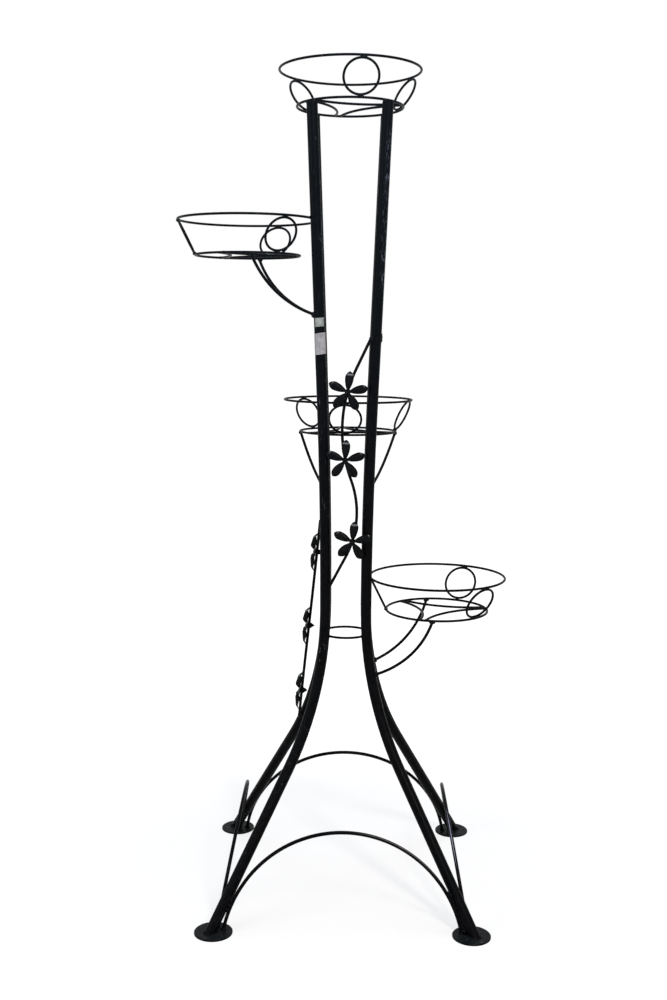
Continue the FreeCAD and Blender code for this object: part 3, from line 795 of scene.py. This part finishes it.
@dataclass
class FlowerPress:
    """Presses a flower: five petals of sheet, arched along and cupped across, their tips bent down."""

    petals: int = 5
    reach_mm: float = 34.0
    start_mm: float = -2.0
    shoulder_mm: float = 23.5
    half_mm: float = 7.25
    neck_mm: float = 5.0
    neck_half_mm: float = 2.6
    tip_half_mm: float = 0.3
    crest_mm: float = 8.2
    rise_mm: tuple[float, float] = (2.5, 12.0)
    crease_mm: float = 27.0
    crease_high_mm: float = 5.2
    tip_mm: float = -2.0
    fold_mm: tuple[float, float] = (28.8, 1.5)
    cup_mm: float = 10.0
    cup_fall: float = 0.65
    cup_bent: float = 0.7
    thick_mm: float = 1.4
    bend_power: float = 1.15
    flatter: float = 0.6
    tip_zone_mm: float = 0.05
    rows: int = 30
    columns: int = 8
    tree: bpy.types.NodeTree = field(init=False)
    petal: bpy.types.Object = field(init=False)

    def __post_init__(self) -> None:
        """Makes the petal, and the tree that sets copies of it round a centre."""
        layers: list[list[Vector]] = [[], []]
        folds = []
        for row, column in product(range(self.rows + 1), range(self.columns + 1)):
            out = self.start_mm + (self.reach_mm - self.start_mm) * row / self.rows
            across = 2 * column / self.columns - 1
            low = self.height(out, across)
            layers[0].append(Vector((across * self.half_width(out), out, low)) * MM)
            layers[1].append(Vector((across * self.half_width(out), out, low + self.thick_mm)) * MM)
            folds.append(max(1 - abs(out - self.fold_mm[0]) / self.fold_mm[1], 0.0))
        sheet = slab("petal", *layers, self.columns + 1)
        sheet.attributes.new(FOLD, "FLOAT", "POINT").data.foreach_set("value", folds + folds)
        self.petal = bpy.data.objects.new("petal", sheet)
        tree, given = start_tree("petal_ring", {"Petal": "Object", "Count": "Int", "Step": "Float",
                                                "Flatter": "Float"})
        self.tree = tree
        centres = add(tree, "GeometryNodeMeshLine", {"Count": given["Count"], "Offset": (0, 0, 0)})
        number = add(tree, "GeometryNodeInputIndex")
        angle = add(tree, "ShaderNodeMath", {0: number.outputs[0], 1: given["Step"]}, operation="MULTIPLY")
        turn = add(tree, "ShaderNodeCombineXYZ", {"Z": angle.outputs[0]})
        sideways = add(tree, "ShaderNodeMath", {0: angle.outputs[0]}, operation="SINE").outputs[0]
        share = add(tree, "ShaderNodeMath", {0: sideways, 1: sideways}, operation="MULTIPLY")
        pressed = add(tree, "ShaderNodeMath", {0: share.outputs[0], 1: given["Flatter"]},
                      operation="MULTIPLY")
        lift = add(tree, "ShaderNodeMath", {0: 1.0, 1: pressed.outputs[0]}, operation="SUBTRACT")
        scale = add(tree, "ShaderNodeCombineXYZ", {"X": 1.0, "Y": 1.0, "Z": lift.outputs[0]})
        petal = add(tree, "GeometryNodeObjectInfo", {"Object": given["Petal"]})
        ring = add(tree, "GeometryNodeInstanceOnPoints",
                   {"Points": centres.outputs[0], "Instance": petal.outputs["Geometry"],
                    "Rotation": turn.outputs[0], "Scale": scale.outputs[0]})
        joined = add(tree, "GeometryNodeRealizeInstances", {0: ring.outputs[0]})
        end_tree(tree, joined.outputs[0], given["Material"])

    def half_width(self, out: float) -> float:
        """Half the petal's width, so far from the flower's middle: two arcs that meet at the shoulder."""
        if out < self.neck_mm:
            return self.neck_half_mm
        end, width = (self.neck_mm, self.neck_half_mm) if out < self.shoulder_mm else (self.reach_mm, 0.0)
        run, inward = end - self.shoulder_mm, self.half_mm - width
        radius = (run ** 2 + inward ** 2) / (2 * inward)
        half = self.half_mm - radius + math.sqrt(radius ** 2 - (out - self.shoulder_mm) ** 2)
        return max(half, self.tip_half_mm)

    def height(self, out: float, across: float) -> float:
        """Height of the petal's back over the stem, so far out and at a share of its half width."""
        start, full = self.rise_mm
        share = min(max((out - start) / (full - start), 0.0), 1.0)
        fall = min(max((out - full) / (self.crease_mm - full), 0.0), 1.0)
        bent = max(out - self.crease_mm, 0.0) / (self.reach_mm - self.crease_mm)
        middle = (self.crest_mm * math.sin(math.pi / 2 * share) - (self.crest_mm - self.crease_high_mm) * fall
                  - (self.crease_high_mm - self.tip_mm) * bent ** self.bend_power)
        depth = self.cup_mm * share * (1 - self.cup_fall * fall) * (1 - self.cup_bent * bent)
        cup = depth * across ** 2 * self.half_width(out) / self.half_mm
        return max(middle - cup, self.tip_mm)

    def press(self, node: str, points: np.ndarray) -> bpy.types.Object:
        """Makes one flower in the place of its CAD node.

        Args:
            node: CAD node of the flower.
            points: Corner points of the node.

        Returns:
            The flower, riding on the stand.
        """
        values = {"Petal": self.petal, "Count": self.petals, "Step": math.tau / self.petals,
                  "Flatter": self.flatter, "Material": Stock.FLOWER.value.paint.material()}
        mesh = run_tree(bpy.data.objects.new("petals", bpy.data.meshes.new("petals")), self.tree, values)
        mesh.transform(self.seat(points))
        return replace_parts(show(node + "_petals", mesh), node)

    def seat(self, points: np.ndarray) -> Matrix:
        """Finds how a CAD flower lies from its petal tips.

        Args:
            points: Corner points of the CAD node.

        Returns:
            Matrix that takes a flower that faces up, with a petal along +Y, to the node's place.
        """
        rough = points - points.mean(axis=0)
        facing = np.linalg.svd(rough, full_matrices=False)[2][2]
        far = rough[np.argmax(np.linalg.norm(rough, axis=1))]
        first = far - facing * facing.dot(far)
        first /= np.linalg.norm(first)
        side = np.cross(first, facing)
        angle = np.arctan2(rough @ side, rough @ first)
        sector = np.round(angle / (math.tau / self.petals)) % self.petals
        tips = []
        for number in range(self.petals):
            petal = rough[sector == number]
            reach = np.hypot(petal @ side, petal @ first)
            tips.append(petal[reach > reach.max() - self.tip_zone_mm * MM].mean(axis=0))
        middle = np.mean(tips, axis=0)
        if facing.dot(-middle) < 0:
            facing = -facing
        first = max(tips, key=lambda tip: tip[2]) - middle
        first -= facing * facing.dot(first)
        first /= np.linalg.norm(first)
        side = np.cross(first, facing)
        base = points.mean(axis=0) + middle
        base += facing * (rough @ facing - middle.dot(facing)).min()
        turn = Matrix((side, first, facing)).transposed().to_4x4()
        return Matrix.Translation(Vector(base)) @ turn


@dataclass
class FlowerSpray(SubAssembly):
    """A stem with three stamped flowers. Seen from the side, the weld behind a flower ends in a spike."""

    spike_mm: tuple[float, float] = (3.5, 12.0)
    spike_bead_mm: tuple[float, float] = (5.0, 0.7)
    spike_beads: int = 9
    inward: Vector | None = None

    @classmethod
    def on(cls, side: str, inward: Vector | None = None) -> "FlowerSpray":
        """Collects a spray's nodes.

        Args:
            side: Word that starts the spray's nodes.
            inward: Direction of the spikes, where they show.

        Returns:
            The spray.
        """
        nodes = [side + "_stem", *(f"{side}_flower_{n}" for n in (1, 2, 3))]
        return cls(f"{side}_spray", nodes, ["post_" + c for c in CORNERS], inward=inward)

    def bead_places(self, finder: TouchFinder) -> list[tuple[Vector, float]]:
        """Lists the beads, and behind each flower a row of shrinking ones that makes the spike."""
        places = super().bead_places(finder)
        if self.inward is None:
            return places
        stem = self.nodes[0]
        for flower in self.nodes[1:]:
            spots = finder.spots(stem, flower)
            root = sum(spots, Vector()) / max(len(spots), 1)
            runs = (np.linspace(*ends, self.spike_beads) * MM for ends in (self.spike_mm, self.spike_bead_mm))
            places += [(root + self.inward * along, radius) for along, radius in zip(*runs)]
        return places


@dataclass
class Sticker:
    """A blank paper sticker wrapped round the front left post."""

    name: str
    low_mm: float
    high_mm: float
    from_deg: float
    to_deg: float
    rise: float
    paper: CoatedPaper
    post: str = "post_front_left"
    thick_mm: float = 0.15
    lift_mm: float = 0.05
    columns: int = 28
    rows: int = 14

    def build(self) -> bpy.types.Object:
        """Wraps a grid of paper round the tube and gives it its thickness."""
        bottom, radius = cut_level(self.post, self.low_mm * MM)
        top, _ = cut_level(self.post, self.high_mm * MM)
        out = radius + self.lift_mm * MM
        layers: list[list[Vector]] = [[], []]
        for row, column in product(range(self.rows + 1), range(self.columns + 1)):
            turn = math.radians(self.from_deg + (self.to_deg - self.from_deg) * column / self.columns)
            away = Vector((math.sin(turn), -math.cos(turn), 0))
            middle = bottom.lerp(top, row / self.rows) + Vector((0, 0, self.rise * radius * turn))
            layers[0].append(middle + away * out)
            layers[1].append(middle + away * (out + self.thick_mm * MM))
        mesh = slab(self.name, *layers, self.columns + 1)
        mesh.materials.append(self.paper.material())
        return show(self.name, mesh)


@dataclass(frozen=True)
class Softbox:
    """A flat studio lamp."""

    name: str
    place: tuple[float, float, float]
    aim: tuple[float, float, float]
    wide: float
    high: float
    watts: float
    tint_hex: str

    def build(self) -> None:
        """Hangs the lamp and turns it to its aim."""
        data = bpy.data.lights.new(self.name, "AREA")
        data.shape, data.size, data.size_y = "RECTANGLE", self.wide, self.high
        data.energy, data.color = self.watts, srgb(self.tint_hex)[:3]
        lamp = bpy.data.objects.new(self.name, data)
        lamp.location = self.place
        lamp.rotation_euler = (Vector(self.aim) - Vector(self.place)).to_track_quat("-Z", "Y").to_euler()
        bpy.context.scene.collection.objects.link(lamp)
        LOG.info("%s: %g W", self.name, self.watts)


@dataclass
class Studio:
    """White floor and backdrop, soft lamps, and the camera where the photographer stood."""

    floor_half: float = 30.0
    sky_strength: float = 0.35
    floor_glow: float = 0.72
    glow_from: float = 0.35
    glow_to: float = 0.95
    floor_hex: str = "#e6e6e6"
    shade_hex: str = "#8a8a8a"
    focal_px: float = 1206.6
    image_px: float = 1000.0
    sensor_mm: float = 36.0
    pitch: float = 0.13782
    roll: float = 0.00726
    yaw: float = 0.01689
    from_axis_mm: tuple[float, float, float] = (11.8, -2032.9, 958.3)
    lamps: tuple[Softbox, ...] = (
        Softbox("key_softbox", place=(0.9, -2.2, 2.3), aim=(0.0, 0.0, 0.7), wide=0.35, high=0.7, watts=60.0,
                tint_hex="#fffaf4"),
        Softbox("fill_softbox", place=(-2.2, -1.4, 1.5), aim=(0.0, 0.0, 0.7), wide=1.4, high=1.4, watts=22.0,
                tint_hex="#f2f6ff"),
        Softbox("top_softbox", place=(0.1, 0.3, 3.0), aim=(0.0, 0.0, 0.7), wide=1.2, high=1.2, watts=40.0,
                tint_hex="#e4edff"),
    )

    def build(self) -> None:
        """Sets up the whole studio."""
        for lamp in self.lamps:
            lamp.build()
        self.build_world()
        self.build_floor()
        self.build_camera()
        bpy.context.scene.view_settings.view_transform = "Standard"

    def seen(self, tree: bpy.types.NodeTree) -> bpy.types.NodeSocket:
        """Tells rays that show the background, straight or in a reflection, from rays that only light."""
        path = add(tree, "ShaderNodeLightPath").outputs
        two = add(tree, "ShaderNodeMath", {0: path["Is Camera Ray"], 1: path["Is Glossy Ray"]},
                  operation="MAXIMUM")
        return add(tree, "ShaderNodeMath", {0: two.outputs[0], 1: path["Is Transmission Ray"]},
                   operation="MAXIMUM").outputs[0]

    def build_world(self) -> None:
        """White backdrop that lights less than it shows."""
        world = bpy.data.worlds.new("white_backdrop")
        world.use_nodes = True
        tree = world.node_tree
        tree.nodes.clear()
        strength = add(tree, "ShaderNodeMapRange", {0: self.seen(tree), 3: self.sky_strength, 4: 1.0})
        sky = add(tree, "ShaderNodeBackground", {"Color": (1, 1, 1, 1), "Strength": strength.outputs[0]})
        add(tree, "ShaderNodeOutputWorld", {"Surface": sky.outputs[0]})
        bpy.context.scene.world = world

    def build_floor(self) -> None:
        """White floor that glows a little where it is seen, so that only the stand's shadow shows on it."""
        half = self.floor_half
        mesh = bpy.data.meshes.new("floor")
        corners = [(-half, -half, 0), (half, -half, 0), (half, half, 0), (-half, half, 0)]
        mesh.from_pydata(corners, [], [(0, 1, 2, 3)])
        paint = blank_material("white_floor_paint")
        tree = paint.node_tree
        plain = add(tree, "ShaderNodeBsdfDiffuse", {"Color": srgb(self.floor_hex)})
        shade = add(tree, "ShaderNodeBsdfDiffuse", {"Color": srgb(self.shade_hex)})
        place = add(tree, "ShaderNodeTexCoord").outputs["Object"]
        away = add(tree, "ShaderNodeVectorMath", {0: place}, operation="LENGTH").outputs["Value"]
        fade = add(tree, "ShaderNodeMapRange",
                   {0: away, 1: self.glow_from, 2: self.glow_to, 3: self.floor_glow, 4: 1.0},
                   interpolation_type="SMOOTHSTEP")
        glow = add(tree, "ShaderNodeEmission", {"Color": (1, 1, 1, 1), "Strength": fade.outputs[0]})
        shown = add(tree, "ShaderNodeAddShader", {0: shade.outputs[0], 1: glow.outputs[0]})
        both = add(tree, "ShaderNodeMixShader",
                   {0: self.seen(tree), 1: plain.outputs[0], 2: shown.outputs[0]})
        add(tree, "ShaderNodeOutputMaterial", {"Surface": both.outputs[0]})
        mesh.materials.append(paint)
        floor = bpy.data.objects.new("floor", mesh)
        bpy.context.scene.collection.objects.link(floor)

    def build_camera(self) -> None:
        """Camera as fitted to the feet, rims and rings of the photograph, from the posts' shared axis."""
        low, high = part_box("waist_ring")
        axis = (low + high) / 2
        data = bpy.data.cameras.new("camera")
        data.sensor_fit = "VERTICAL"
        data.sensor_height = data.sensor_width = self.sensor_mm
        data.lens = self.focal_px / self.image_px * self.sensor_mm
        camera = bpy.data.objects.new("camera", data)
        place = Vector((axis.x, axis.y, 0)) + Vector(self.from_axis_mm) * MM
        camera.matrix_world = (Matrix.Translation(place) @ Matrix.Rotation(self.yaw, 4, "Z")
                               @ Matrix.Rotation(math.pi / 2 - self.pitch, 4, "X")
                               @ Matrix.Rotation(self.roll, 4, "Z"))
        bpy.context.scene.collection.objects.link(camera)
        bpy.context.scene.camera = camera


STICKERS = (
    Sticker("small_sticker", low_mm=968.0, high_mm=982.0, from_deg=-48.0, to_deg=53.0, rise=0.09,
            paper=CoatedPaper("coated_paper_greenish", paper_hex="#8f9795", soil_hex="#6d7472")),
    Sticker("large_sticker", low_mm=923.0, high_mm=957.5, from_deg=-80.0, to_deg=76.0, rise=0.13,
            paper=CoatedPaper("coated_paper_grey", paper_hex="#9c9ba0", soil_hex="#77767c")),
)


def main() -> None:
    """Builds and dresses the stand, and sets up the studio."""
    logging.basicConfig(level=logging.INFO, format="%(message)s")
    finder, maker, press = TouchFinder(), BeadMaker(), FlowerPress()
    groups: list[SubAssembly] = [
        LegFrame(),
        Basket.on("top", ()),
        Basket.on("left", ("rear", "front")),
        Basket.on("rear", ("right", "left")),
        Basket.on("right", ("front", "rear")),
        FlowerSpray.on("front"),
        FlowerSpray.on("left", Vector((1, 0, 0))),
    ]
    for group in groups:
        group.dress()
        group.weld(finder, maker)
        if isinstance(group, FlowerSpray):
            for flower in group.nodes[1:]:
                press.press(flower, finder.corners(flower))
    for sticker in STICKERS:
        sticker.build()
    Studio().build()


if __name__ == "__main__":
    main()
